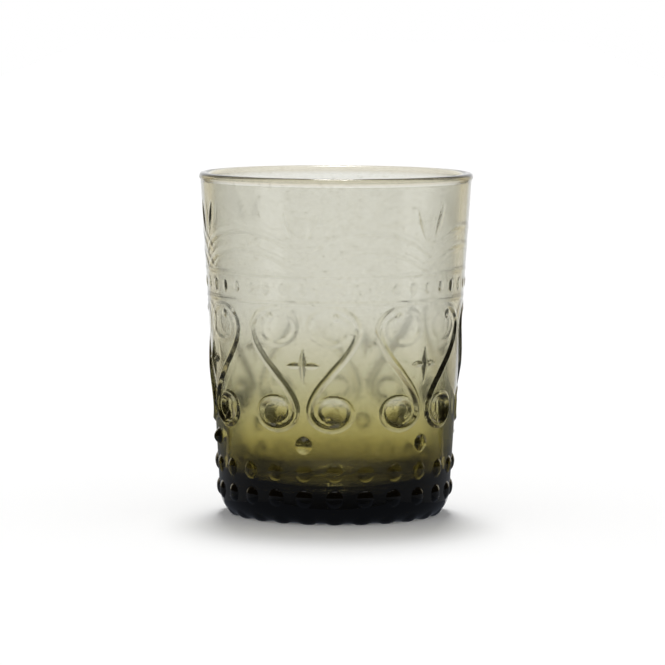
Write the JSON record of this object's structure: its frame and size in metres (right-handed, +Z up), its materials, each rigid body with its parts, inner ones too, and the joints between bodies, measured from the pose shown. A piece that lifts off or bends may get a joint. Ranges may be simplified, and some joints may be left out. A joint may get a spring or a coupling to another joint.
{
  "type": "drinking glass",
  "caption": "Pressed-glass tumbler with a slightly flared wall, rounded rim and thick base, embossed with paired scrolls, arches, pearls and beads; holds a drink.",
  "frame": {"origin": "centre of the foot, on the plane that the glass stands on", "axes": "+Z up along the axis of the glass; -Y faces the picture's camera"},
  "size_m": [0.08, 0.08, 0.1],
  "materials": {
    "glass": "pressed and fire-polished, body-tinted smoke olive that deepens to near black in the thick base"
  },
  "bodies": {
    "root": {"tumbler_glass": "glass"}
  },
  "joints": []
}
